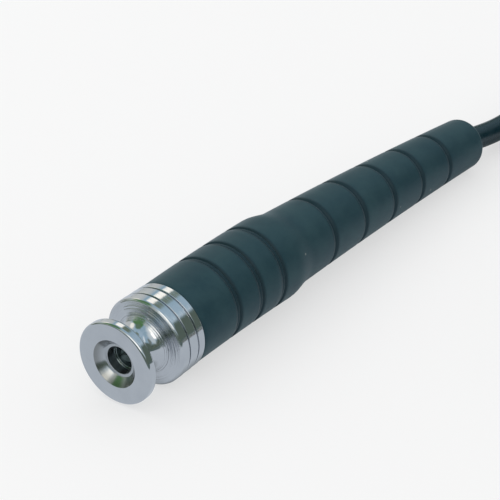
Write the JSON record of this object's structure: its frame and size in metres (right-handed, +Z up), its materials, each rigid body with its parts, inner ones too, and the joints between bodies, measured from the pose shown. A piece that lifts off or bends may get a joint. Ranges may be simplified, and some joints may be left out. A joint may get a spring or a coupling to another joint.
{
  "type": "cable shutter release",
  "caption": "Mechanical cable shutter release: sprung thumb button in a polished collar, soft ringed grip, sheathed cable with a swivelling threaded camera end.",
  "frame": {"origin": "on the resting plane, under the middle of the handle", "axes": "+Z up, +X from the thumb button towards the cable"},
  "size_m": [0.1506, 0.0651, 0.0151],
  "materials": {
    "polished_chrome": "polished chrome plate",
    "soft_grip": "matte soft-touch rubber",
    "cable_sheath": "glossy extruded sheath",
    "plain_steel": "plain",
    "turned_brass": "turned",
    "nickel_plate": "bright nickel plate",
    "black_rubber": "matte",
    "buffer_fibre": "pressed fibre",
    "strap": "woven hook-and-loop strap"
  },
  "bodies": {
    "root": {"front_cap": "polished_chrome", "ferrule": "polished_chrome", "grip_sleeve": "soft_grip", "handle_cable": "cable_sheath", "cable_lead": "cable_sheath", "cable_coil": "cable_sheath", "cable_tail": "cable_sheath", "tip_cable": "cable_sheath", "return_spring": "plain_steel", "conduit_rear": "plain_steel", "crimp_ring": "plain_steel", "conduit_front": "plain_steel", "barrel": "turned_brass", "guide_bush": "turned_brass", "cable_anchor": "turned_brass", "tip_ferrule": "nickel_plate", "tip_boot": "black_rubber", "buffer_ring": "buffer_fibre", "coil_tie": "strap"},
    "button": {"thumb_button": "polished_chrome", "button_screw": "plain_steel", "lock_washer": "plain_steel", "plunger": "plain_steel", "handle_wire": "plain_steel"},
    "pin": {"tip_pin": "plain_steel", "tip_wire": "plain_steel"},
    "swivel": {"swivel_collar": "nickel_plate"}
  },
  "joints": [
    {"name": "button_slide", "type": "slide", "parent": "root", "child": "button", "axis": [0.9995, 0, 0.0328], "range_m": [0, 0.0052], "stiffness_N_per_m": 400, "springref_m": -0.003, "deforming": ["return_spring"]},
    {"name": "tip_pin_slide", "type": "slide", "parent": "root", "child": "pin", "axis": [-0.9978, -0.0665, 0], "range_m": [0, 0.0052]},
    {"name": "collar_turn", "type": "hinge", "parent": "root", "child": "swivel", "pos_m": [0.01556, -0.05286, 0.00395], "axis": [-0.9978, -0.0665, 0], "continuous": true}
  ],
  "couplings": [
    {"joint": "tip_pin_slide", "follows": "button_slide", "ratio": 1}
  ]
}
